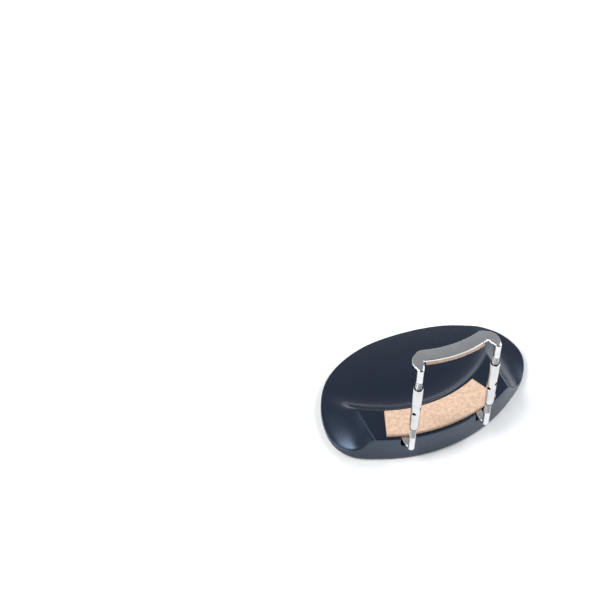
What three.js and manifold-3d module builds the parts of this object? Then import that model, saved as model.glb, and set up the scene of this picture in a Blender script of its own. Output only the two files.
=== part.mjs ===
// Violin chin rest with its two-barrel clamp, lying as it does under an instrument that is face down:
// the cup opens downwards and the clamp stands up. Millimetres, +Z up.
// The origin is the middle of the belly cork's face, where the edge of the instrument's belly rests.
// +X runs along the line of the two legs, +Y points in over the instrument.
import * as THREE from 'three';
import { mergeVertices } from 'three/addons/utils/BufferGeometryUtils.js';
import Module from 'manifold-3d';

const wasm = await Module();
wasm.setup();

// Driving dimensions
const LEG_SPACING = 38;
const LEG_Y = -12;
const CORK_GAP = 49.7; // from the belly cork's face to the back cork's face, the instrument's edge height
const CORK_THICKNESS = 2;
const GAP = 0.3; // running and seating clearance between neighbours

const ROD_RADIUS = 1.5;
const STRAP = { halfWidth: 3.1, halfThickness: 0.6 }; // the rod flattened
const BAR_RADIUS = 53; // the bar's bow in plan
const SHOULDER_RADIUS = 3.2; // where the bar turns out to a leg
const ELBOW = { inside: 0.25, squareness: 3.6 }; // the bend to a leg, tight on its outside
// reach is from the leg line to the middle of the bar. An arm's metal reaches armInner and armOuter
// to the two sides of its line where it leaves the shoulder.
const UPPER_PLAN = { reach: 4.5, armInner: 3.1, armOuter: 2 };
const LOWER_PLAN = { reach: 8, armInner: 1.8, armOuter: 1.8 };

const BARREL = { radius: 2.2, bore: 1.8, tip: 2.0, bottom: 11.7, top: 39.8, taper: 1.8 };
const TOMMY_HOLE = { radius: 0.9, low: 23.8, high: 26.7 };
const LEFT_HOLE_ANGLE = -48; // degrees from -Y, seen from above
const RIGHT_HOLE_ANGLE = -62;
const ROD_ENGAGEMENT = 9; // how far each rod reaches into its barrel

const WALL = { x: -0.7, y: 66.7, radius: 76 }; // the plate's outer wall, an upright arc
const PLATE_CENTRE = new THREE.Vector2(4, 23);
const RIM_Z = -17;
const RIM_ROUNDING = 1.5;
const RIM_BREADTH = 0.93; // share of the plate's radius where the cup begins
const CUP_DEPTH = 7;
const EDGE_THICKNESS = 3.4; // of the wings, at the wall
const CROWN_THICKNESS = 3; // of the shell, at the bottom of the cup
const FOOT = { left: -32, right: 38, breadth: 17, cove: 14.5, coveShape: 2.2 };
const FOOT_Z = -CORK_THICKNESS - 0.01;
const NOTCH = { halfWidth: 2.2, depth: 5.5, inner: -4, outer: -17 };

const SCREW = { x: 9, headRadius: 2.4, headHeight: 1.5, shankRadius: 1.15, length: 8.5 };

// Helpers

const radians = THREE.MathUtils.degToRad;

function toManifold(geometry) {
  const bare = geometry.clone();
  bare.deleteAttribute('normal');
  bare.deleteAttribute('uv');
  const merged = mergeVertices(bare, 1e-4);
  return new wasm.Manifold(new wasm.Mesh({
    numProp: 3,
    vertProperties: new Float32Array(merged.attributes.position.array),
    triVerts: new Uint32Array(merged.index.array),
  }));
}

function toGeometry(solid) {
  const mesh = solid.getMesh();
  return indexedGeometry(mesh.vertProperties, mesh.triVerts);
}

function indexedGeometry(positions, index) {
  const geometry = new THREE.BufferGeometry();
  geometry.setAttribute('position', new THREE.Float32BufferAttribute(positions, 3));
  geometry.setIndex(Array.from(index));
  geometry.computeVertexNormals();
  return geometry;
}

function cut(geometry, ...tools) {
  const solid = tools.reduce((left, tool) => left.subtract(toManifold(tool)), toManifold(geometry));
  return toGeometry(solid);
}

// A closed skin over rings of equal length, each an array of Vector3, with a fan over each end.
function skin(rings, firstCentre, lastCentre) {
  const count = rings[0].length;
  const points = [firstCentre, ...rings.flat(), lastCentre];
  const last = points.length - 1;
  const index = [];
  const at = (ring, k) => 1 + ring * count + (k % count);
  for (let k = 0; k < count; k++) {
    index.push(0, at(0, k + 1), at(0, k));
    index.push(last, at(rings.length - 1, k), at(rings.length - 1, k + 1));
    for (let ring = 0; ring + 1 < rings.length; ring++) {
      index.push(at(ring, k), at(ring, k + 1), at(ring + 1, k));
      index.push(at(ring, k + 1), at(ring + 1, k + 1), at(ring + 1, k));
    }
  }
  return indexedGeometry(points.flatMap((p) => [p.x, p.y, p.z]), index);
}

function uprightCylinder(radiusTop, radiusBottom, zBottom, zTop, sides = 24) {
  const geometry = new THREE.CylinderGeometry(radiusTop, radiusBottom, zTop - zBottom, sides);
  geometry.rotateX(Math.PI / 2);
  geometry.translate(0, 0, (zTop + zBottom) / 2);
  return geometry;
}

function mesh(name, geometry, color, roughness, metalness) {
  const material = new THREE.MeshStandardMaterial({ color, roughness, metalness });
  const node = new THREE.Mesh(geometry, material);
  node.name = name;
  return node;
}

// Brackets: a rod bent to a staple and flattened, all but its two legs.

// The strap in plan from the middle of its bar out to the right elbow: places on its line relative to
// the leg line, the way it heads, and how far its metal reaches to the inside and outside of its line.
function halfPlan({ reach, armInner, armOuter }) {
  const { lerp, smoothstep } = THREE.MathUtils;
  const sine = (LEG_SPACING / 2 - SHOULDER_RADIUS) / (BAR_RADIUS + SHOULDER_RADIUS);
  const sweep = Math.asin(sine);
  const turn = new THREE.Vector2(
    (BAR_RADIUS + SHOULDER_RADIUS) * sine,
    reach + BAR_RADIUS - (BAR_RADIUS + SHOULDER_RADIUS) * Math.cos(sweep),
  );
  const stations = [];
  const barSteps = 5;
  for (let i = 0; i < barSteps; i++) {
    const heading = sweep * i / barSteps;
    stations.push({
      x: BAR_RADIUS * Math.sin(heading),
      y: reach + BAR_RADIUS * (1 - Math.cos(heading)),
      heading,
      inner: STRAP.halfWidth,
      outer: STRAP.halfWidth,
    });
  }
  const turnSteps = 7;
  for (let i = 0; i <= turnSteps; i++) {
    const heading = sweep - (sweep + Math.PI / 2) * i / turnSteps;
    stations.push({
      x: turn.x - SHOULDER_RADIUS * Math.sin(heading),
      y: turn.y + SHOULDER_RADIUS * Math.cos(heading),
      heading,
      inner: lerp(STRAP.halfWidth, armInner, smoothstep(i / turnSteps, 0, 1)),
      outer: lerp(STRAP.halfWidth, armOuter, smoothstep(i / turnSteps, 0, 0.4)),
    });
  }
  const armSteps = 2;
  for (let i = 1; i <= armSteps; i++) {
    const y = lerp(turn.y, ROD_RADIUS + ELBOW.inside, i / armSteps);
    const reaches = narrowed(y, turn.y, armInner, armOuter);
    stations.push({ x: LEG_SPACING / 2, y, heading: -Math.PI / 2, ...reaches });
  }
  return stations;
}

// How far an arm reaches to both sides of its line, y behind the leg line: from the shoulder on it
// narrows to the rod's width.
function narrowed(y, shoulderY, armInner, armOuter) {
  const { lerp, clamp } = THREE.MathUtils;
  const share = clamp((shoulderY - y) / (shoulderY + ROD_RADIUS), 0, 1);
  return { inner: lerp(armInner, ROD_RADIUS, share), outer: lerp(armOuter, ROD_RADIUS, share) };
}

// One cross-section: a superellipse that goes from a flat strap (round 0) to a round rod (round 1).
function section(centre, across, through, halfWidth, halfThickness, round) {
  const exponent = 2 / THREE.MathUtils.lerp(9, 2, round);
  const sides = 16;
  const power = (value) => (Math.abs(value) < 1e-9 ? 0 : Math.sign(value) * Math.abs(value) ** exponent);
  return Array.from({ length: sides }, (_, k) => {
    const angle = 2 * Math.PI * k / sides;
    return centre.clone()
      .addScaledVector(across, halfWidth * power(Math.cos(angle)))
      .addScaledVector(through, halfThickness * power(Math.sin(angle)));
  });
}

// Sections round the bend from an arm to its leg, fanned about a line just inside the bend.
// Their outer ends follow a square corner that is rounded off as a superellipse.
function elbowSections(barZ, side, shoulderY, { armInner, armOuter }) {
  const legX = LEG_SPACING / 2;
  const pivot = new THREE.Vector3(
    legX,
    LEG_Y + ROD_RADIUS + ELBOW.inside,
    barZ + side * (STRAP.halfThickness + ELBOW.inside),
  );
  const reachZ = ELBOW.inside + 2 * STRAP.halfThickness;
  const reachY = ELBOW.inside + 2 * ROD_RADIUS;
  const across = new THREE.Vector3(1, 0, 0);
  const steps = 6;
  return Array.from({ length: steps }, (_, k) => {
    const share = (k + 1) / steps;
    const angle = share * Math.PI / 2;
    const n = ELBOW.squareness;
    const outside = ((Math.cos(angle) / reachZ) ** n + (Math.sin(angle) / reachY) ** n) ** (-1 / n);
    const ray = new THREE.Vector3(0, -Math.sin(angle), -side * Math.cos(angle));
    const centre = pivot.clone().addScaledVector(ray, (outside + ELBOW.inside) / 2);
    const y = pivot.y - LEG_Y - outside * Math.sin(angle);
    const { inner, outer } = narrowed(y, shoulderY, armInner, armOuter);
    centre.x += (outer - inner) / 2;
    const round = THREE.MathUtils.smoothstep(share, 0, 1);
    const halfThickness = (outside - ELBOW.inside) / 2;
    return section(centre, across, ray.multiplyScalar(-side), (inner + outer) / 2, halfThickness, round);
  });
}

// side is -1 for a bracket whose legs hang down and 1 for one whose legs stand up.
function bracket(plan, barZ, legEndZ, side) {
  const legX = LEG_SPACING / 2;
  const stations = halfPlan(plan);
  const shoulder = stations.find((p) => p.heading === -Math.PI / 2);
  const half = stations.map(({ x, y, heading, inner, outer }) => {
    const across = new THREE.Vector3(-Math.sin(heading), Math.cos(heading), 0);
    const centre = new THREE.Vector3(x, LEG_Y + y, barZ).addScaledVector(across, (outer - inner) / 2);
    return section(centre, across, new THREE.Vector3(0, 0, 1), (inner + outer) / 2, STRAP.halfThickness, 0);
  });
  half.push(...elbowSections(barZ, side, shoulder.y, plan));
  const across = new THREE.Vector3(1, 0, 0);
  const through = new THREE.Vector3(0, side, 0);
  const chamfer = 0.6;
  const shank = new THREE.Vector3(legX, LEG_Y, legEndZ - side * chamfer);
  const tip = new THREE.Vector3(legX, LEG_Y, legEndZ);
  half.push(section(shank, across, through, ROD_RADIUS, ROD_RADIUS, 1));
  half.push(section(tip, across, through, 0.65 * ROD_RADIUS, 0.65 * ROD_RADIUS, 1));
  const mirrored = half.slice(1).reverse().map((ring) => mirrorRing(ring));
  return skin([...mirrored, ...half], mirrorRing([tip])[0], tip);
}

// The mirror image in the plane x = 0, with the points kept in their order.
function mirrorRing(ring) {
  return ring.map((p) => new THREE.Vector3(-p.x, p.y, p.z));
}

function upperBracket() {
  const barZ = CORK_GAP + CORK_THICKNESS + GAP / 2 + STRAP.halfThickness;
  return bracket(UPPER_PLAN, barZ, BARREL.top - ROD_ENGAGEMENT, -1);
}

const LOWER_BAR_Z = FOOT_Z - GAP - STRAP.halfThickness;

function screwHoles(clearance, zBottom) {
  const headTop = LOWER_BAR_Z + STRAP.halfThickness;
  return [-SCREW.x, SCREW.x].flatMap((x) => {
    const y = screwY(x);
    const cone = uprightCylinder(
      SCREW.headRadius + clearance,
      SCREW.shankRadius + clearance,
      headTop - SCREW.headHeight,
      headTop + 0.02,
    );
    const shank = uprightCylinder(
      SCREW.shankRadius + clearance,
      SCREW.shankRadius + clearance,
      zBottom,
      headTop,
      16,
    );
    return [cone.translate(x, y, 0), shank.translate(x, y, 0)];
  });
}

function screwY(x) {
  return LEG_Y + LOWER_PLAN.reach + BAR_RADIUS - Math.sqrt(BAR_RADIUS ** 2 - x ** 2);
}

function lowerBracket() {
  const bare = bracket(LOWER_PLAN, LOWER_BAR_Z, BARREL.bottom + ROD_ENGAGEMENT, 1);
  return cut(bare, ...screwHoles(GAP, LOWER_BAR_Z - 2));
}

function woodScrew(x) {
  const headTop = LOWER_BAR_Z + STRAP.halfThickness;
  const profile = [
    [0, headTop],
    [SCREW.headRadius, headTop],
    [SCREW.headRadius, headTop - 0.25],
    [SCREW.shankRadius, headTop - SCREW.headHeight],
    [SCREW.shankRadius, headTop - 0.7 * SCREW.length],
    [0, headTop - SCREW.length],
  ];
  const points = profile.map(([r, z]) => new THREE.Vector2(r, z)).reverse();
  const body = new THREE.LatheGeometry(points, 20).rotateX(Math.PI / 2);
  const slot = new THREE.BoxGeometry(2 * SCREW.headRadius + 1, 0.7, 1.2);
  slot.translate(0, 0, headTop);
  return cut(body, slot).translate(x, screwY(x), 0);
}

// Barrels: turnbuckles with two crossed pairs of tommy holes.

function barrel(holeAngle) {
  const { radius, bore, tip, bottom, top, taper } = BARREL;
  const profile = [
    [bore, bottom],
    [tip, bottom],
    [radius, bottom + taper],
    [radius, top],
    [bore, top],
    [bore, bottom],
  ];
  const points = profile.map(([r, z]) => new THREE.Vector2(r, z));
  const tube = new THREE.LatheGeometry(points, 24).rotateX(Math.PI / 2);
  const drillings = [[TOMMY_HOLE.low, 0], [TOMMY_HOLE.high, 90]].map(([z, turn]) => {
    const drill = new THREE.CylinderGeometry(TOMMY_HOLE.radius, TOMMY_HOLE.radius, 3 * radius, 12);
    return drill.rotateZ(radians(holeAngle + turn)).translate(0, 0, z);
  });
  return cut(tube, ...drillings);
}

// Corks

// A strip that follows an arc, from xLeft to xRight, between two distances from the arc's centre.
function arcStrip(centre, outer, inner, xLeft, xRight, zBottom, zTop) {
  const angleAt = (x) => -Math.acos((x - centre.x) / outer);
  const shape = new THREE.Shape();
  shape.absarc(centre.x, centre.y, outer, angleAt(xLeft), angleAt(xRight), false);
  shape.absarc(centre.x, centre.y, inner, angleAt(xRight), angleAt(xLeft), true);
  const geometry = new THREE.ExtrudeGeometry(shape, {
    depth: zTop - zBottom,
    bevelEnabled: false,
    curveSegments: 14,
  });
  return geometry.translate(0, 0, zBottom);
}

function bellyCork() {
  const outer = WALL.radius - 1.5;
  return arcStrip(WALL, outer, outer - 14, -27, 30, FOOT_Z + 0.01, 0);
}

function backCork() {
  const centre = { x: 0, y: LEG_Y + UPPER_PLAN.reach + BAR_RADIUS };
  const halfLength = 14.5;
  const outer = BAR_RADIUS + STRAP.halfWidth - 0.1;
  const inner = BAR_RADIUS - STRAP.halfWidth + 0.1;
  return arcStrip(centre, outer, inner, -halfLength, halfLength, CORK_GAP, CORK_GAP + CORK_THICKNESS);
}

// Chin plate: a shallow cup with a foot along its outer wall, carved from one block.

// Where a spoke from the plate's centre meets its outline. The outer side is the wall's arc.
function outline() {
  const arc = [-42, -28, -14, 0, 14, 28, 42].map((x) => (
    new THREE.Vector3(x, WALL.y - Math.sqrt(WALL.radius ** 2 - (x - WALL.x) ** 2), 0)
  ));
  const rest = [
    [54, 13.5], [60, 27], [55, 43], [38, 54.5], [14, 59.5], [-12, 58], [-33, 47.5], [-44, 31], [-46.8, 13],
  ].map(([x, y]) => new THREE.Vector3(x, y, 0));
  return new THREE.CatmullRomCurve3([...arc, ...rest], true, 'centripetal');
}

function wallInset(x, y) {
  return WALL.radius - Math.hypot(x - WALL.x, y - WALL.y);
}

// Height of the side that faces the instrument, at share s of the way from the centre to the wall.
function undersideZ(x, y, s) {
  const edge = RIM_Z + EDGE_THICKNESS;
  const crown = RIM_Z + CUP_DEPTH + CROWN_THICKNESS;
  const floor = THREE.MathUtils.lerp(crown, edge, s * s);
  const beside = Math.max(FOOT.left - x, x - FOOT.right, 0);
  const behind = Math.max(wallInset(x, y) - FOOT.breadth, 0);
  const away = Math.min(Math.hypot(beside, behind) / FOOT.cove, 1);
  const drop = 1 - (1 - away) ** FOOT.coveShape;
  return THREE.MathUtils.lerp(FOOT_Z, floor, drop);
}

// Height of the side that faces the chin.
function cupZ(s) {
  const inside = Math.min(s / RIM_BREADTH, 1);
  return RIM_Z + CUP_DEPTH * (1 - inside ** 2.5);
}

function plateBlank() {
  const spokes = outline().getPoints(96).slice(0, -1);
  const on = (spoke, s) => new THREE.Vector2(
    THREE.MathUtils.lerp(PLATE_CENTRE.x, spoke.x, s),
    THREE.MathUtils.lerp(PLATE_CENTRE.y, spoke.y, s),
  );
  const ring = (height, shareOf) => spokes.map((spoke) => {
    const s = shareOf(spoke);
    const p = on(spoke, s);
    return new THREE.Vector3(p.x, p.y, height(p.x, p.y, s));
  });
  const constant = (s) => () => s;
  const under = [0.14, 0.27, 0.38, 0.47, 0.55, 0.62, 0.68, 0.74, 0.79, 0.84, 0.88, 0.92, 0.96, 1];
  const cup = [RIM_BREADTH, 0.8, 0.65, 0.5, 0.33, 0.16];
  const roundingSteps = 3;
  const rings = under.map((s) => ring(undersideZ, constant(s)));
  for (let i = 0; i <= roundingSteps; i++) {
    const a = (Math.PI / 2) * i / roundingSteps;
    const inset = RIM_ROUNDING * (1 - Math.cos(a));
    const z = RIM_Z + RIM_ROUNDING * (1 - Math.sin(a));
    const shareOf = (spoke) => 1 - inset / Math.hypot(spoke.x - PLATE_CENTRE.x, spoke.y - PLATE_CENTRE.y);
    rings.push(ring(() => z, shareOf));
  }
  for (const s of cup) {
    rings.push(ring((x, y, share) => cupZ(share), constant(s)));
  }
  return skin(
    rings.reverse(),
    new THREE.Vector3(PLATE_CENTRE.x, PLATE_CENTRE.y, cupZ(0)),
    new THREE.Vector3(PLATE_CENTRE.x, PLATE_CENTRE.y, undersideZ(PLATE_CENTRE.x, PLATE_CENTRE.y, 0)),
  );
}

// The seat that is milled into the foot for the lower bracket's bar and arms.
function bracketSeat() {
  const edge = (sign) => {
    const right = halfPlan(LOWER_PLAN).map((p) => {
      const offset = sign > 0 ? p.outer + GAP : -p.inner - GAP;
      const y = LEG_Y + p.y + offset * Math.cos(p.heading);
      return new THREE.Vector2(p.x - offset * Math.sin(p.heading), y);
    });
    const left = right.slice(1).reverse().map((p) => new THREE.Vector2(-p.x, p.y));
    return [...left, ...right];
  };
  const shape = new THREE.Shape([...edge(1), ...edge(-1).reverse()]);
  const depth = 2 * STRAP.halfThickness + 2 * GAP;
  const above = 2;
  const geometry = new THREE.ExtrudeGeometry(shape, { depth: depth + above, bevelEnabled: false });
  return geometry.translate(0, 0, FOOT_Z - depth);
}

// A round-bottomed notch through the wall, where an arm of the lower bracket comes out to its leg.
function armNotch(x) {
  const shape = new THREE.Shape();
  const shoulder = NOTCH.halfWidth - NOTCH.depth;
  shape.moveTo(NOTCH.halfWidth, 3);
  shape.lineTo(-NOTCH.halfWidth, 3);
  shape.lineTo(-NOTCH.halfWidth, shoulder);
  shape.absarc(0, shoulder, NOTCH.halfWidth, Math.PI, 2 * Math.PI, false);
  const geometry = new THREE.ExtrudeGeometry(shape, {
    depth: NOTCH.inner - NOTCH.outer,
    bevelEnabled: false,
    curveSegments: 10,
  });
  geometry.rotateX(Math.PI / 2);
  return geometry.translate(x, NOTCH.inner, FOOT_Z);
}

function chinPlate() {
  return cut(
    plateBlank(),
    bracketSeat(),
    armNotch(-LEG_SPACING / 2),
    armNotch(LEG_SPACING / 2),
    ...screwHoles(GAP, LOWER_BAR_Z - SCREW.length - 0.5),
  );
}

const NICKEL = [0xc4c6c8, 0.22, 1];
const CORK = [0xc9a27e, 0.9, 0];
const BLACK = [0x0b0b0d, 0.25, 0];
const STEEL = [0x9a9a98, 0.35, 1];

const chinRest = new THREE.Group();
chinRest.add(mesh('chin_plate', chinPlate(), ...BLACK));
chinRest.add(mesh('belly_cork', bellyCork(), ...CORK));
chinRest.add(mesh('lower_bracket', lowerBracket(), ...NICKEL));
chinRest.add(mesh('upper_bracket', upperBracket(), ...NICKEL));
chinRest.add(mesh('back_cork', backCork(), ...CORK));
for (const [side, sign, angle] of [['left', -1, LEFT_HOLE_ANGLE], ['right', 1, RIGHT_HOLE_ANGLE]]) {
  chinRest.add(mesh(`${side}_wood_screw`, woodScrew(sign * SCREW.x), ...STEEL));
  const turnbuckle = mesh(`${side}_barrel`, barrel(angle), ...NICKEL);
  turnbuckle.position.set(sign * LEG_SPACING / 2, LEG_Y, 0);
  chinRest.add(turnbuckle);
}

export default chinRest;
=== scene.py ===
from collections import namedtuple
import math

import bmesh
import bpy
from mathutils import Matrix, Vector


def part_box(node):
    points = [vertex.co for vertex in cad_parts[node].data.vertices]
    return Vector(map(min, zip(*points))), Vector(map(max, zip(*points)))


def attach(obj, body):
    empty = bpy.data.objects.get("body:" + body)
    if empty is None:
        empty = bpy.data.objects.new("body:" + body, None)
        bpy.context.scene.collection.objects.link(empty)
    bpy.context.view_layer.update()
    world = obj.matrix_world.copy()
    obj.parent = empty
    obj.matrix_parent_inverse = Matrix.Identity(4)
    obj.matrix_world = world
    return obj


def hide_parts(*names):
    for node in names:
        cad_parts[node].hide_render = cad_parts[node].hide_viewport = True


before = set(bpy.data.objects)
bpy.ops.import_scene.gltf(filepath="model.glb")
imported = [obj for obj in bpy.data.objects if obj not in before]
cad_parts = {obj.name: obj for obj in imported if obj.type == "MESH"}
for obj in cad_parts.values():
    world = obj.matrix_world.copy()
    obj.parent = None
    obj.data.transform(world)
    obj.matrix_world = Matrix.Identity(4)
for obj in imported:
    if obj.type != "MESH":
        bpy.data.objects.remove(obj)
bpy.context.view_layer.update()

MM = 0.001

# ---------------------------------------------------------------- measures, in millimetres and degrees


def box_mm(node):
    low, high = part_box(node)
    return low / MM, high / MM


def middle(node):
    low, high = box_mm(node)
    return (low + high) / 2


LEG_X = middle("right_barrel").x
LEG_Y = middle("right_barrel").y
BARREL_LOW, BARREL_HIGH = (corner.z for corner in box_mm("right_barrel"))
BARREL_RADIUS = (box_mm("right_barrel")[1].x - box_mm("right_barrel")[0].x) / 2
UPPER_TIP_Z, UPPER_TOP_Z = (corner.z for corner in box_mm("upper_bracket"))
LOWER_TIP_Z = box_mm("lower_bracket")[1].z
RIM_Z, FOOT_Z = (corner.z for corner in box_mm("chin_plate"))

ROD_RADIUS = 1.5
THREAD_PITCH = 0.5
THREAD_DEPTH = 0.17
STRAP_HALF_WIDTH = 3.1
STRAP_HALF_THICKNESS = 0.6
STRAP_CORNER = 0.28
BAR_RADIUS = 53
SHOULDER_RADIUS = 3.2
ELBOW_INSIDE = 0.25
ELBOW_SQUARENESS = 3.6
SEAT_COVER = 0.3  # from the foot's top down to the lower bracket
UPPER_BAR_Z = UPPER_TOP_Z - STRAP_HALF_THICKNESS
LOWER_BAR_Z = FOOT_Z - SEAT_COVER - STRAP_HALF_THICKNESS
UPPER_THREAD_FROM = BARREL_HIGH + 5.2
LOWER_THREAD_FROM = 5.3

BORE_RADIUS = 1.62
TOMMY_RADIUS = 0.95
TOMMY_HEIGHTS = (23.8, 26.7)
TOMMY_ANGLES = {"left": -48, "right": -62}

# A bracket seen from above: from the leg line to the middle of its bar, and how far the metal of an
# arm reaches to the inside and the outside of its line where it leaves the shoulder.
Plan = namedtuple("Plan", "reach arm_inner arm_outer")
UPPER_PLAN = Plan(4.5, 3.1, 2.0)
LOWER_PLAN = Plan(8, 1.8, 1.8)

WALL_X, WALL_Y, WALL_RADIUS = -0.7, 66.7, 76
PLATE_X, PLATE_Y = 4.0, 23.0
CUP_DEPTH = 7
EDGE_THICKNESS = 3.4
CROWN_THICKNESS = 3
RIM_ROUNDING = 1.5
RIM_BREADTH = 0.93
FOOT_LEFT, FOOT_RIGHT, FOOT_BREADTH = -32, 38, 17
FOOT_SOFTNESS = 0.9  # rounds the foot's edge towards the hollow
COVE, COVE_SHAPE = 14.5, 2.2
NOTCH_HALF_WIDTH, NOTCH_DEPTH = 2.2, 5.5


def lerp(a, b, t):
    return a + (b - a) * t


def smoothstep(t, low=0.0, high=1.0):
    t = min(max((t - low) / (high - low), 0.0), 1.0)
    return t * t * (3 - 2 * t)


# ---------------------------------------------------------------- mesh helpers


def make_object(name, vertices, faces, material, smooth_angle=35):
    mesh = bpy.data.meshes.new(name)
    mesh.from_pydata([tuple(c * MM for c in v) for v in vertices], [], faces)
    mesh.validate()
    bm = bmesh.new()
    bm.from_mesh(mesh)
    bmesh.ops.recalc_face_normals(bm, faces=bm.faces)
    bm.to_mesh(mesh)
    bm.free()
    obj = bpy.data.objects.new(name, mesh)
    bpy.context.scene.collection.objects.link(obj)
    shade(obj, smooth_angle)
    if material is not None:
        mesh.materials.append(material)
    return obj


def shade(obj, smooth_angle):
    """Smooth shading, with edges sharper than smooth_angle degrees kept crisp."""
    mesh = obj.data
    for polygon in mesh.polygons:
        polygon.use_smooth = True
    bm = bmesh.new()
    bm.from_mesh(mesh)
    for edge in bm.edges:
        angle = edge.calc_face_angle(0.0)
        edge.smooth = angle < math.radians(smooth_angle)
    bm.to_mesh(mesh)
    bm.free()


def skin(rings):
    """Vertices and faces of a closed skin over rings of equal length."""
    count = len(rings[0])
    vertices = [v for ring in rings for v in ring]
    faces = []
    for r in range(len(rings) - 1):
        for k in range(count):
            a, b = r * count + k, r * count + (k + 1) % count
            faces.append((a, b, b + count, a + count))
    for base, ring in ((0, rings[0]), ((len(rings) - 1) * count, rings[-1])):
        centre = sum((Vector(v) for v in ring), Vector()) / count
        vertices.append(tuple(centre))
        tip = len(vertices) - 1
        faces.extend((base + k, base + (k + 1) % count, tip) for k in range(count))
    return vertices, faces


def lathe(profile, sides=64):
    """A closed profile of (radius, height) turned about Z. The first and last points join."""
    vertices = []
    for radius, z in profile:
        for k in range(sides):
            a = 2 * math.pi * k / sides
            vertices.append((radius * math.cos(a), radius * math.sin(a), z))
    rows = len(profile)
    faces = []
    for r in range(rows):
        for k in range(sides):
            a, b = r * sides + k, r * sides + (k + 1) % sides
            c, d = ((r + 1) % rows) * sides + (k + 1) % sides, ((r + 1) % rows) * sides + k
            faces.append((a, b, c, d))
    return vertices, faces


def prism(outline, low, high):
    """A closed upright prism over a flat outline."""
    count = len(outline)
    vertices = [(x, y, z) for z in (low, high) for x, y in outline]
    faces = [tuple(range(count)), tuple(range(2 * count - 1, count - 1, -1))]
    faces.extend((k, (k + 1) % count, count + (k + 1) % count, count + k) for k in range(count))
    return vertices, faces


def triangulate(mesh):
    bm = bmesh.new()
    bm.from_mesh(mesh)
    bmesh.ops.triangulate(bm, faces=[face for face in bm.faces if len(face.verts) > 3])
    bm.to_mesh(mesh)
    bm.free()


def cut(obj, cutters, smooth_angle=35):
    """Takes the cutters out of obj one by one, and removes them."""
    for cutter in cutters:
        triangulate(cutter.data)
        triangulate(obj.data)
        modifier = obj.modifiers.new("cut", "BOOLEAN")
        modifier.operation = "DIFFERENCE"
        modifier.solver = "MANIFOLD"
        modifier.object = cutter
        bpy.context.view_layer.update()
        evaluated = obj.evaluated_get(bpy.context.evaluated_depsgraph_get())
        mesh = bpy.data.meshes.new_from_object(evaluated)
        obj.modifiers.clear()
        obj.data = mesh
        bpy.data.objects.remove(cutter)
    shade(obj, smooth_angle)


# ---------------------------------------------------------------- materials


class Nodes:
    """A short way to write a node tree."""

    def __init__(self, name):
        self.material = bpy.data.materials.new(name)
        self.material.use_nodes = True
        self.tree = self.material.node_tree
        self.shader = self.tree.nodes["Principled BSDF"]
        self.position = self.add("ShaderNodeTexCoord").outputs["Object"]

    def add(self, kind, inputs=None, **properties):
        node = self.tree.nodes.new(kind)
        for key, value in properties.items():
            setattr(node, key, value)
        for key, value in (inputs or {}).items():
            if isinstance(value, bpy.types.NodeSocket):
                self.tree.links.new(value, node.inputs[key])
            else:
                node.inputs[key].default_value = value
        return node

    def stretched(self, scale):
        return self.add(
            "ShaderNodeMapping", {"Vector": self.position, "Scale": scale}
        ).outputs["Vector"]

    def maths(self, operation, a, b=0.0):
        return self.add("ShaderNodeMath", {0: a, 1: b}, operation=operation).outputs["Value"]

    def noise(self, vector, scale, detail=3.0, roughness=0.5):
        return self.add(
            "ShaderNodeTexNoise",
            {"Vector": vector, "Scale": scale, "Detail": detail, "Roughness": roughness},
        ).outputs["Fac"]

    def spread(self, value, low, high, from_low=0.0, from_high=1.0):
        return self.add(
            "ShaderNodeMapRange",
            {"Value": value, "From Min": from_low, "From Max": from_high, "To Min": low, "To Max": high},
        ).outputs["Result"]

    def ramp(self, value, *stops):
        node = self.add("ShaderNodeValToRGB", {"Fac": value})
        elements = node.color_ramp.elements
        while len(elements) < len(stops):
            elements.new(0.5)
        for element, (place, colour) in zip(elements, stops):
            element.position = place
            element.color = (*colour, 1)
        return node.outputs["Color"]

    def mix(self, factor, a, b):
        node = self.add("ShaderNodeMix", data_type="RGBA")
        for key, value in ((0, factor), (6, a), (7, b)):
            if isinstance(value, bpy.types.NodeSocket):
                self.tree.links.new(value, node.inputs[key])
            else:
                node.inputs[key].default_value = value if key == 0 else (*value, 1)
        return node.outputs[2]

    def bump(self, height, distance_mm, strength=1.0, normal=None):
        inputs = {"Height": height, "Distance": distance_mm * MM, "Strength": strength}
        if normal is not None:
            inputs["Normal"] = normal
        return self.add("ShaderNodeBump", inputs).outputs["Normal"]

    def set(self, **sockets):
        for name, value in sockets.items():
            socket = self.shader.inputs[name.replace("_", " ")]
            if isinstance(value, bpy.types.NodeSocket):
                self.tree.links.new(value, socket)
            else:
                socket.default_value = value
        return self.material


def per_mm(waves):
    """Texture scale for that many features in a millimetre."""
    return waves / MM


def nickel_material():
    """Polished nickel plate: faint drawing lines, a little cloudiness and fine pits."""
    n = Nodes("nickel_plate")
    cloud = n.noise(n.position, per_mm(0.12), 2)
    drawn = n.noise(n.stretched((1, 1, 0.06)), per_mm(5), 2)
    pits = n.noise(n.position, per_mm(2.2), 4, 0.6)
    colour = n.ramp(cloud, (0.3, (0.66, 0.66, 0.665)), (0.7, (0.78, 0.775, 0.765)))
    roughness = n.spread(pits, 0.15, 0.24, 0.3, 0.75)
    grain = n.bump(drawn, 0.004, 0.25)
    return n.set(
        Base_Color=colour,
        Metallic=1.0,
        Roughness=roughness,
        Normal=n.bump(pits, 0.004, 0.2, grain),
    )


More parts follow.
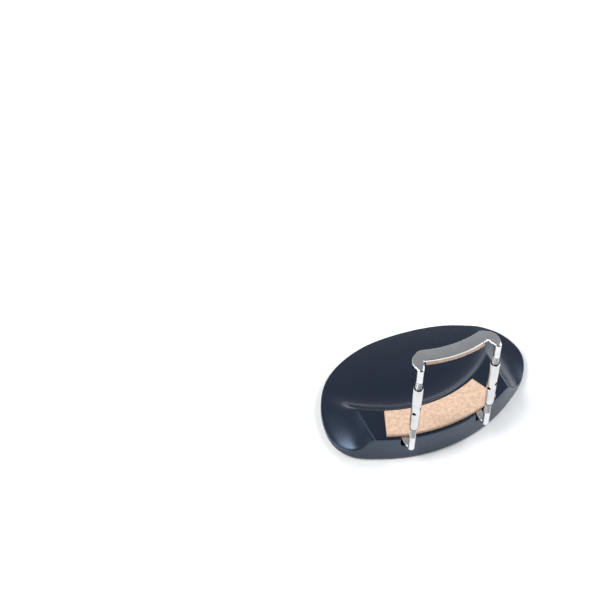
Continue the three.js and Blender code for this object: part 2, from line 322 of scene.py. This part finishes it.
def barrel_material():
    """Turned and polished nickel: very fine rings around the barrel's axis, and painted shade that
    darkens the holes.
    """
    n = Nodes("nickel_turned")
    axes = n.add("ShaderNodeSeparateXYZ", {"Vector": n.position}).outputs
    from_leg = n.maths("SUBTRACT", n.maths("ABSOLUTE", axes["X"]), LEG_X * MM)
    from_line = n.maths("SUBTRACT", axes["Y"], LEG_Y * MM)
    from_axis = n.maths("SQRT", n.maths(
        "ADD", n.maths("MULTIPLY", from_leg, from_leg), n.maths("MULTIPLY", from_line, from_line),
    ))
    # Painted shade: metal that lies a little way in from the barrel's outside, in the bore and the
    # drillings, is coloured near black.
    shade_within, lit_from = (BARREL_RADIUS - 0.22) * MM, (BARREL_RADIUS - 0.12) * MM
    unshaded = n.spread(from_axis, 0, 1, shade_within, lit_from)
    rings = n.noise(n.stretched((0.04, 0.04, 1)), per_mm(7), 2)
    cloud = n.noise(n.position, per_mm(0.2), 3)
    pits = n.noise(n.position, per_mm(2.5), 4, 0.6)
    polished = n.ramp(cloud, (0.3, (0.59, 0.59, 0.595)), (0.7, (0.68, 0.675, 0.67)))
    # The near-black colour of the painted shade in the bore and drillings, mottled by the pits.
    painted_shade = n.ramp(pits, (0.35, (0.018, 0.017, 0.016)), (0.65, (0.05, 0.048, 0.045)))
    return n.set(
        Base_Color=n.mix(unshaded, painted_shade, polished),
        Metallic=1.0,
        Roughness=n.spread(pits, 0.15, 0.26, 0.3, 0.75),
        Normal=n.bump(rings, 0.005, 0.3),
    )


def ebony_material():
    """Polished black ebony with a cool sheen: faint streaks and long, fine pores."""
    n = Nodes("black_ebony")
    streaks = n.noise(n.stretched((0.05, 1, 1)), per_mm(0.9), 5, 0.6)
    pores = n.noise(n.stretched((0.035, 1, 1)), per_mm(3.5), 3, 0.7)
    haze = n.noise(n.position, per_mm(0.05), 3)
    colour = n.ramp(
        streaks,
        (0.35, (0.0025, 0.004, 0.008)),
        (0.6, (0.004, 0.006, 0.012)),
        (0.8, (0.010, 0.010, 0.015)),
    )
    pore_depth = n.spread(pores, 0, 1, 0.3, 0.42)
    return n.set(
        Base_Color=colour,
        Roughness=n.spread(haze, 0.2, 0.3, 0.3, 0.7),
        Specular_Tint=(0.52, 0.7, 1.0, 1.0),
        IOR=1.78,
        Normal=n.bump(pore_depth, 0.02, 0.35),
    )


def cork_material():
    """Fine sheet cork: pale tan cells with brown flecks and open pits."""
    n = Nodes("sheet_cork")
    cells = n.add("ShaderNodeTexVoronoi", {"Vector": n.position, "Scale": per_mm(1.1), "Randomness": 1.0})
    mottle = n.noise(n.position, per_mm(0.5), 4, 0.6)
    flecks = n.noise(n.position, per_mm(1.6), 3, 0.75)
    base = n.ramp(mottle, (0.3, (0.56, 0.37, 0.26)), (0.7, (0.80, 0.60, 0.46)))
    toned = n.mix(n.spread(cells.outputs["Distance"], 0.0, 0.35, 0.2, 0.7), base, (0.48, 0.30, 0.20))
    colour = n.mix(n.spread(flecks, 0, 1, 0.62, 0.7), toned, (0.12, 0.055, 0.03))
    pits = n.bump(flecks, 0.12, 0.6)
    return n.set(
        Base_Color=colour,
        Roughness=n.spread(mottle, 0.78, 0.95),
        Normal=n.bump(cells.outputs["Distance"], 0.08, 0.5, pits),
    )


def steel_material():
    """Plain turned steel of a wood screw."""
    n = Nodes("screw_steel")
    rings = n.noise(n.stretched((0.1, 0.1, 1)), per_mm(6), 2)
    grime = n.noise(n.position, per_mm(0.8), 4)
    return n.set(
        Base_Color=n.ramp(grime, (0.35, (0.36, 0.35, 0.33)), (0.65, (0.56, 0.56, 0.55))),
        Metallic=1.0,
        Roughness=n.spread(grime, 0.28, 0.5),
        Normal=n.bump(rings, 0.02, 0.4),
    )


def floor_material():
    """Matt white paper."""
    n = Nodes("paper_floor")
    fibre = n.noise(n.position, per_mm(0.02), 3)
    return n.set(
        Base_Color=n.ramp(fibre, (0.3, (0.93, 0.935, 0.94)), (0.7, (0.95, 0.955, 0.96))),
        Roughness=0.9,
    )


# ---------------------------------------------------------------- brackets


def shoulder(plan):
    """The middle of the turn from the bar to the right arm, and the bar's heading where it starts."""
    sine = (LEG_X - SHOULDER_RADIUS) / (BAR_RADIUS + SHOULDER_RADIUS)
    x = (BAR_RADIUS + SHOULDER_RADIUS) * sine
    y = plan.reach + BAR_RADIUS - (BAR_RADIUS + SHOULDER_RADIUS) * math.sqrt(1 - sine**2)
    return x, y, math.asin(sine)


def half_plan(plan, bar_steps=14, turn_steps=22, arm_steps=6):
    """The strap in plan from its bar's middle out to the right elbow: x, y from the leg line,
    heading, and how far its metal reaches to the inside and the outside of its line."""
    turn_x, turn_y, sweep = shoulder(plan)
    wide = STRAP_HALF_WIDTH
    stations = []
    for i in range(bar_steps):
        a = sweep * i / bar_steps
        x = BAR_RADIUS * math.sin(a)
        y = plan.reach + BAR_RADIUS * (1 - math.cos(a))
        stations.append((x, y, a, wide, wide))
    for i in range(turn_steps + 1):
        heading = sweep - (sweep + math.pi / 2) * i / turn_steps
        x = turn_x - SHOULDER_RADIUS * math.sin(heading)
        y = turn_y + SHOULDER_RADIUS * math.cos(heading)
        inner = lerp(wide, plan.arm_inner, smoothstep(i / turn_steps))
        outer = lerp(wide, plan.arm_outer, smoothstep(i / turn_steps, 0, 0.4))
        stations.append((x, y, heading, inner, outer))
    for i in range(1, arm_steps + 1):
        y = lerp(turn_y, ROD_RADIUS + ELBOW_INSIDE, i / arm_steps)
        stations.append((LEG_X, y, -math.pi / 2, *arm_reach(y, plan)))
    return stations


def arm_reach(y, plan):
    """How far an arm reaches to both sides of its line: it narrows to the rod's width."""
    shoulder_y = shoulder(plan)[1]
    share = min(max((shoulder_y - y) / (shoulder_y + ROD_RADIUS), 0), 1)
    return lerp(plan.arm_inner, ROD_RADIUS, share), lerp(plan.arm_outer, ROD_RADIUS, share)


def section(centre, across, through, half_width, half_thickness, corner, per_corner=8):
    """A rounded rectangle, or a circle where all three sizes are equal."""
    ring = []
    for quarter, (sx, sy) in enumerate(((1, 1), (-1, 1), (-1, -1), (1, -1))):
        for i in range(per_corner):
            a = math.pi / 2 * (quarter + (i + 0.5) / per_corner)
            u = sx * (half_width - corner) + corner * math.cos(a)
            v = sy * (half_thickness - corner) + corner * math.sin(a)
            ring.append(tuple(centre + across * u + through * v))
    return ring


def elbow_rings(plan, bar_z, side, steps=20):
    """The bend from an arm to its leg, fanned about a line just inside it. Its outside is a tight
    corner, rounded off as a superellipse."""
    x_axis = Vector((1, 0, 0))
    pivot = Vector((
        LEG_X,
        LEG_Y + ROD_RADIUS + ELBOW_INSIDE,
        bar_z + side * (STRAP_HALF_THICKNESS + ELBOW_INSIDE),
    ))
    reach_z = ELBOW_INSIDE + 2 * STRAP_HALF_THICKNESS
    reach_y = ELBOW_INSIDE + 2 * ROD_RADIUS
    n = ELBOW_SQUARENESS
    rings = []
    for i in range(1, steps + 1):
        angle = math.pi / 2 * i / steps
        outside = ((math.cos(angle) / reach_z) ** n + (math.sin(angle) / reach_y) ** n) ** (-1 / n)
        ray = Vector((0, -math.sin(angle), -side * math.cos(angle)))
        inner, outer = arm_reach(pivot.y - LEG_Y - outside * math.sin(angle), plan)
        half_width = (inner + outer) / 2
        half_thickness = (outside - ELBOW_INSIDE) / 2
        centre = pivot + ray * (outside + ELBOW_INSIDE) / 2 + x_axis * (outer - inner) / 2
        roundness = smoothstep(i / steps)
        corner = min(lerp(STRAP_CORNER, ROD_RADIUS, roundness), half_thickness, half_width)
        rings.append(section(centre, x_axis, ray * -side, half_width, half_thickness, corner))
    return rings


def thread_depth(angle, z, hand):
    """How far a thread's flank lies below its crest."""
    phase = (z / THREAD_PITCH - hand * angle / (2 * math.pi)) % 1.0
    return THREAD_DEPTH * smoothstep(abs(2 * phase - 1), 0.12, 0.9)


def rod_rings(thread_from, z_tip, side, hand):
    """The threaded end of an upright rod, as far as its chamfered tip."""
    rows_per_pitch = 6
    rows = round(abs(z_tip - thread_from) / THREAD_PITCH * rows_per_pitch)
    run_out_rows = 9
    chamfer = 0.5
    undersize = 0.04
    rings = []
    for row in range(rows + 1):
        z = lerp(thread_from, z_tip, row / rows)
        run_out = smoothstep(row / run_out_rows)
        tip = max(chamfer - abs(z_tip - z), 0)
        circle = section(Vector((0, 0, 0)), Vector((1, 0, 0)), Vector((0, side, 0)), 1.0, 1.0, 1.0)
        ring = []
        for u, v, _ in circle:
            depth = undersize + thread_depth(math.atan2(v, u), z, hand)
            radius = ROD_RADIUS - depth * run_out - tip
            ring.append((LEG_X + radius * u, LEG_Y + radius * v, z))
        rings.append(ring)
    return rings


def bracket_object(name, plan, bar_z, side, thread_from, tip_z, hand, material):
    """side is -1 where the legs hang down and 1 where they stand up."""
    z_axis = Vector((0, 0, 1))
    half = []
    for x, y, heading, inner, outer in half_plan(plan):
        across = Vector((-math.sin(heading), math.cos(heading), 0))
        centre = Vector((x, LEG_Y + y, bar_z)) + across * (outer - inner) / 2
        half.append(section(
            centre, across, z_axis, (inner + outer) / 2, STRAP_HALF_THICKNESS, STRAP_CORNER,
        ))
    half.extend(elbow_rings(plan, bar_z, side))
    half.extend(rod_rings(thread_from, tip_z, side, hand))
    mirrored = [[(-x, y, z) for x, y, z in ring] for ring in reversed(half[1:])]
    vertices, faces = skin(mirrored + half)
    return make_object(name, vertices, faces, material, 50)


def upper_bracket(material):
    piece = bracket_object(
        "upper_bracket_body", UPPER_PLAN, UPPER_BAR_Z, -1, UPPER_THREAD_FROM, UPPER_TIP_Z, -1, material,
    )
    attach(piece, "clamp")
    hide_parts("upper_bracket")


def lower_bracket(material):
    piece = bracket_object(
        "lower_bracket_body", LOWER_PLAN, LOWER_BAR_Z, 1, LOWER_THREAD_FROM, LOWER_TIP_Z, 1, material,
    )
    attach(piece, "rest")
    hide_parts("lower_bracket")


# ---------------------------------------------------------------- barrels


def barrel(side, body, material):
    radius, chamfer, taper, tip = BARREL_RADIUS, 0.18, 1.8, BARREL_RADIUS - 0.3
    profile = [
        (BORE_RADIUS, BARREL_LOW + 0.25),
        (BORE_RADIUS + 0.12, BARREL_LOW),
        (tip - 0.1, BARREL_LOW),
        (tip, BARREL_LOW + 0.1),
        (radius - 0.03, BARREL_LOW + taper - 0.15),
        (radius, BARREL_LOW + taper + 0.1),
        (radius, lerp(BARREL_LOW, BARREL_HIGH, 0.5)),
        (radius, BARREL_HIGH - chamfer),
        (radius - 0.06, BARREL_HIGH - 0.05),
        (radius - chamfer, BARREL_HIGH),
        (BORE_RADIUS + 0.22, BARREL_HIGH),
        (BORE_RADIUS, BARREL_HIGH - 0.25),
    ]
    vertices, faces = lathe(profile)
    piece = make_object(f"{side}_barrel_body", vertices, faces, material)
    drills = []
    for height, turn in zip(TOMMY_HEIGHTS, (0, 90)):
        drills.append(drill(height, TOMMY_ANGLES[side] + turn))
    cut(piece, drills)
    leg_x = -LEG_X if side == "left" else LEG_X
    piece.data.transform(Matrix.Translation((leg_x * MM, LEG_Y * MM, 0)))
    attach(piece, body)
    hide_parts(f"{side}_barrel")


def drill(height, angle):
    """A drilling right through a barrel, a little countersunk where it comes out."""
    sides = 20
    reach, flare, flare_depth = BARREL_RADIUS + 0.4, 0.52, 0.52
    stations = ((-reach, TOMMY_RADIUS + flare), (-reach + flare_depth, TOMMY_RADIUS),
                (reach - flare_depth, TOMMY_RADIUS), (reach, TOMMY_RADIUS + flare))
    along = Vector((math.sin(math.radians(angle)), -math.cos(math.radians(angle)), 0))
    across = Vector((along.y, -along.x, 0))
    rings = []
    for distance, radius in stations:
        ring = []
        for k in range(sides):
            a = 2 * math.pi * k / sides
            p = along * distance + across * (radius * math.cos(a))
            ring.append((p.x, p.y, height + radius * math.sin(a)))
        rings.append(ring)
    vertices, faces = skin(rings)
    return make_object("drill", vertices, faces, None)


# ---------------------------------------------------------------- corks


def strip_rings(centre_x, centre_y, outer, inner, x_left, x_right, z_low, z_high, steps=60, corner=0.25):
    """A strip along an arc, as rings of a rounded rectangle."""
    middle_radius, half_width = (outer + inner) / 2, (outer - inner) / 2
    half_height = (z_high - z_low) / 2
    start = math.asin((x_left - centre_x) / outer)
    end = math.asin((x_right - centre_x) / outer)
    rings = []
    turn, partly = corner / outer, 0.3
    places = [(start, corner), (start + turn * partly, corner * partly), (start + turn, 0.0)]
    places += [(lerp(start, end, i / steps), 0.0) for i in range(1, steps)]
    places += [(end - turn, 0.0), (end - turn * partly, corner * partly), (end, corner)]
    for angle, shrink in places:
        radial = Vector((math.sin(angle), -math.cos(angle), 0))
        centre = Vector((centre_x, centre_y, (z_low + z_high) / 2)) + radial * middle_radius
        rings.append(section(
            centre, radial, Vector((0, 0, 1)), half_width - shrink, half_height - shrink, corner, 4,
        ))
    return rings


def back_cork(material):
    bow_y = LEG_Y + UPPER_PLAN.reach + BAR_RADIUS
    outer = BAR_RADIUS + STRAP_HALF_WIDTH - 0.1
    inner = BAR_RADIUS - STRAP_HALF_WIDTH + 0.1
    low, high = box_mm("back_cork")
    strip = strip_rings(0, bow_y, outer, inner, low.x, high.x, low.z, UPPER_BAR_Z - STRAP_HALF_THICKNESS)
    vertices, faces = skin(strip)
    piece = make_object("back_cork_strip", vertices, faces, material)
    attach(piece, "clamp")
    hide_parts("back_cork")


def belly_cork(material):
    low, high = box_mm("belly_cork")
    outer = WALL_RADIUS - 1.5
    vertices, faces = skin(strip_rings(WALL_X, WALL_Y, outer, outer - 14, -27, 30, FOOT_Z + 0.01, high.z))
    piece = make_object("belly_cork_pad", vertices, faces, material)
    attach(piece, "rest")
    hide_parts("belly_cork")


# ---------------------------------------------------------------- chin plate


def outline_points(count):
    """Points around the plate: the wall's arc, closed by a smooth curve through a few places."""
    places = []
    for x in (-42, -28, -14, 0, 14, 28, 42):
        places.append((x, WALL_Y - math.sqrt(WALL_RADIUS**2 - (x - WALL_X) ** 2)))
    places += [(54, 13.5), (60, 27), (55, 43), (38, 54.5), (14, 59.5), (-12, 58)]
    places += [(-33, 47.5), (-44, 31), (-46.8, 13)]
    dense = []
    total = len(places)
    steps_between = 40
    inside = 0.9985  # keeps the smooth curve within the CAD's faceted one
    centre = Vector((PLATE_X, PLATE_Y))
    for i in range(total):
        quad = [Vector(places[(i + k) % total]) for k in (-1, 0, 1, 2)]
        for j in range(steps_between):
            dense.append(centre.lerp(centripetal(quad, j / steps_between), inside))
    return evenly(dense, count)


def centripetal(quad, t):
    """A centripetal Catmull-Rom curve from the second to the third of four points."""
    p0, p1, p2, p3 = quad
    t0 = 0.0
    t1 = t0 + (p1 - p0).length ** 0.5
    t2 = t1 + (p2 - p1).length ** 0.5
    t3 = t2 + (p3 - p2).length ** 0.5
    u = lerp(t1, t2, t)
    a1 = p0 * ((t1 - u) / (t1 - t0)) + p1 * ((u - t0) / (t1 - t0))
    a2 = p1 * ((t2 - u) / (t2 - t1)) + p2 * ((u - t1) / (t2 - t1))
    a3 = p2 * ((t3 - u) / (t3 - t2)) + p3 * ((u - t2) / (t3 - t2))
    b1 = a1 * ((t2 - u) / (t2 - t0)) + a2 * ((u - t0) / (t2 - t0))
    b2 = a2 * ((t3 - u) / (t3 - t1)) + a3 * ((u - t1) / (t3 - t1))
    return b1 * ((t2 - u) / (t2 - t1)) + b2 * ((u - t1) / (t2 - t1))


def evenly(points, count):
    """count points at even distances around a closed polyline."""
    lengths = [0.0]
    for i in range(len(points)):
        lengths.append(lengths[-1] + (points[(i + 1) % len(points)] - points[i]).length)
    even = []
    place = 0
    for k in range(count):
        target = lengths[-1] * k / count
        while lengths[place + 1] < target:
            place += 1
        t = (target - lengths[place]) / (lengths[place + 1] - lengths[place])
        even.append(points[place].lerp(points[(place + 1) % len(points)], t))
    return even


def underside_z(x, y, s):
    """Height of the side that faces the instrument, s of the way from the centre to the wall."""
    edge = RIM_Z + EDGE_THICKNESS
    crown = RIM_Z + CUP_DEPTH + CROWN_THICKNESS
    floor = lerp(crown, edge, s * s)
    beside = max(FOOT_LEFT - x, x - FOOT_RIGHT, 0)
    behind = max(WALL_RADIUS - math.hypot(x - WALL_X, y - WALL_Y) - FOOT_BREADTH, 0)
    away = math.hypot(beside, behind)
    softened = math.hypot(away, FOOT_SOFTNESS) - FOOT_SOFTNESS
    drop = 1 - (1 - min(softened / COVE, 1)) ** COVE_SHAPE
    return lerp(FOOT_Z, floor, drop)


def cup_z(s):
    """Height of the side that faces the chin."""
    inside = min(s / RIM_BREADTH, 1)
    return RIM_Z + CUP_DEPTH * (1 - inside**2.5)


def plate_rings(count=400):
    spokes = outline_points(count)
    centre = Vector((PLATE_X, PLATE_Y))
    edge_rounding = 0.45

    def at(spoke, inset):
        reach = (spoke - centre).length
        return centre.lerp(spoke, 1 - inset / reach), 1 - inset / reach

    def share_ring(s, height):
        return [(*centre.lerp(p, s), height(*centre.lerp(p, s), s)) for p in spokes]

    rings = []
    under_steps, under_end = 64, 0.985
    for i in range(1, under_steps):
        rings.append(share_ring(i / under_steps * under_end, underside_z))
    tops = []
    for spoke in spokes:
        p, s = at(spoke, edge_rounding)
        tops.append(underside_z(*p, s))
    for i in range(5):
        a = math.pi / 2 * i / 4
        inset = edge_rounding * (1 - math.sin(a))
        below = edge_rounding * (1 - math.cos(a))
        rings.append([(*at(p, inset)[0], top - below) for p, top in zip(spokes, tops)])
    wall_steps = 8
    for i in range(1, wall_steps):
        rings.append([
            (p.x, p.y, lerp(top - edge_rounding, RIM_Z + RIM_ROUNDING, i / wall_steps))
            for p, top in zip(spokes, tops)
        ])
    for i in range(9):
        a = math.pi / 2 * i / 8
        inset = RIM_ROUNDING * (1 - math.cos(a))
        rings.append([(*at(p, inset)[0], RIM_Z + RIM_ROUNDING * (1 - math.sin(a))) for p in spokes])
    cup_steps, cup_start, cup_end = 44, RIM_BREADTH + 0.012, 0.02
    for i in range(cup_steps):
        s = lerp(cup_start, cup_end, i / (cup_steps - 1))
        rings.append(share_ring(s, lambda x, y, share: cup_z(share)))
    return rings


def notch_cutter(x):
    """The round-bottomed notch of one arm, flared where it meets the wall and the foot's top."""
    lip, spare, above = 0.45, 0.6, 1.5
    bend_z = FOOT_Z - NOTCH_DEPTH + NOTCH_HALF_WIDTH
    wall_y = WALL_Y - math.sqrt(WALL_RADIUS**2 - (x - WALL_X) ** 2)

    def u_profile(grow):
        radius = NOTCH_HALF_WIDTH + grow
        points = [(radius + lip + spare, FOOT_Z + above)]
        for i in range(5):
            a = math.pi / 2 * i / 4
            points.append((radius + lip * (1 - math.sin(a)), FOOT_Z - lip * (1 - math.cos(a))))
        for i in range(25):
            a = -math.pi * i / 24
            points.append((radius * math.cos(a), bend_z + radius * math.sin(a)))
        for i in range(5):
            a = math.pi / 2 * (1 - i / 4)
            points.append((-radius - lip * (1 - math.sin(a)), FOOT_Z - lip * (1 - math.cos(a))))
        points.append((-radius - lip - spare, FOOT_Z + above))
        return points

    rings = []
    slope = (x - WALL_X) / (WALL_Y - wall_y)
    stations = [(6.0, 0.0), (lip, 0.0)]
    for i in range(1, 6):
        a = math.pi / 2 * i / 5
        stations.append((lip * (1 - math.sin(a)), lip * (1 - math.cos(a))))
    stations.append((-1.5, lip + 0.2))
    for depth, grow in stations:
        rings.append([(x + u, wall_y + slope * u + depth, z) for u, z in u_profile(grow)])
    vertices, faces = skin(rings)
    return make_object("notch", vertices, faces, None)


def seat_cutter():
    """The seat milled into the foot for the lower bracket's bar and arms."""
    clearance = 0.08

    def edge(sign):
        right = []
        for x, y, heading, inner, outer in half_plan(LOWER_PLAN, 8, 12, 2):
            offset = outer + clearance if sign > 0 else -inner - clearance
            point = Vector((x - offset * math.sin(heading), LEG_Y + y + offset * math.cos(heading)))
            if not right or (point - right[-1]).length > 3 * clearance:
                right.append(point)
        return [Vector((-p.x, p.y)) for p in right[:0:-1]] + right

    depth = SEAT_COVER + 2 * STRAP_HALF_THICKNESS + clearance
    above = 2
    outline = edge(1) + edge(-1)[::-1]
    vertices, faces = prism(outline, FOOT_Z - depth, FOOT_Z + above)
    return make_object("seat", vertices, faces, None)


def chin_plate(material):
    vertices, faces = skin(plate_rings())
    piece = make_object("chin_plate_body", vertices, faces, material, 60)
    cut(piece, [notch_cutter(-LEG_X), notch_cutter(LEG_X), seat_cutter()], 50)
    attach(piece, "rest")
    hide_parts("chin_plate")


# ---------------------------------------------------------------- stage


def floor(material):
    half = 1.5 / MM
    vertices = [(-half, -half, RIM_Z), (half, -half, RIM_Z), (half, half, RIM_Z), (-half, half, RIM_Z)]
    piece = make_object("floor", vertices, [(0, 1, 2, 3)], material)


def area_light(name, azimuth, elevation, watts, colour):
    """A softbox that looks at the object. Azimuth 0 is in front, on the -Y side."""
    distance, size = 0.9, 0.6
    data = bpy.data.lights.new(name, "AREA")
    data.shape = "SQUARE"
    data.size = size
    data.energy = watts
    data.color = colour
    light = bpy.data.objects.new(name, data)
    a, e = math.radians(azimuth), math.radians(elevation)
    back = Vector((math.sin(a) * math.cos(e), -math.cos(a) * math.cos(e), math.sin(e)))
    light.location = Vector((0, 0.02, 0.01)) + back * distance
    light.rotation_mode = "QUATERNION"
    light.rotation_quaternion = (-back).to_track_quat("-Z", "Y")
    bpy.context.scene.collection.objects.link(light)


def lights():
    area_light("left_box", -95, 45, 8.5, (1.0, 0.99, 0.98))
    area_light("right_box", 80, 40, 7.5, (0.96, 0.98, 1.0))


def surroundings():
    """A grey studio that is darker on the camera's side than behind the object."""
    world = bpy.data.worlds.new("studio")
    world.use_nodes = True
    tree = world.node_tree
    direction = tree.nodes.new("ShaderNodeTexCoord").outputs["Generated"]
    axes = tree.nodes.new("ShaderNodeSeparateXYZ")
    tree.links.new(direction, axes.inputs["Vector"])
    ramp = tree.nodes.new("ShaderNodeMapRange")
    tree.links.new(axes.outputs["Y"], ramp.inputs["Value"])
    ramp.inputs["From Min"].default_value = -0.7
    ramp.inputs["From Max"].default_value = 0.7
    ramp.inputs["To Min"].default_value = 0.08
    ramp.inputs["To Max"].default_value = 0.42
    background = tree.nodes["Background"]
    background.inputs["Color"].default_value = (0.9, 0.94, 1.0, 1)
    tree.links.new(ramp.outputs["Result"], background.inputs["Strength"])
    bpy.context.scene.world = world
    bpy.context.scene.view_settings.view_transform = "Standard"


def camera():
    """The photograph's view: where it stood, which way it looked and how long its lens was."""
    place = Vector((-314.9, -486.6, 716.6)) * MM
    yaw, elevation, roll = (math.radians(angle) for angle in (26.41, 48.22, 3.05))
    forward = Vector((
        math.sin(yaw) * math.cos(elevation),
        math.cos(yaw) * math.cos(elevation),
        -math.sin(elevation),
    ))
    level = Vector((math.cos(yaw), -math.sin(yaw), 0))
    upright = level.cross(forward)
    right = level * math.cos(roll) + upright * math.sin(roll)
    up = upright * math.cos(roll) - level * math.sin(roll)
    data = bpy.data.cameras.new("camera")
    data.sensor_width = 36
    data.lens = 120
    data.clip_start, data.clip_end = 0.01, 10
    view = bpy.data.objects.new("camera", data)
    turn = Matrix((right, up, -forward)).transposed().to_4x4()
    view.matrix_world = Matrix.Translation(place) @ turn
    bpy.context.scene.collection.objects.link(view)
    bpy.context.scene.camera = view


# ---------------------------------------------------------------- scene

camera()
nickel = nickel_material()
turned = barrel_material()
cork = cork_material()

chin_plate(ebony_material())
belly_cork(cork)
back_cork(cork)
lower_bracket(nickel)
upper_bracket(nickel)
barrel("left", "left_turnbuckle", turned)
barrel("right", "right_turnbuckle", turned)

steel = steel_material()
for node in ("left_wood_screw", "right_wood_screw"):
    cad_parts[node].data.materials.clear()
    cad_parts[node].data.materials.append(steel)

floor(floor_material())
lights()
surroundings()
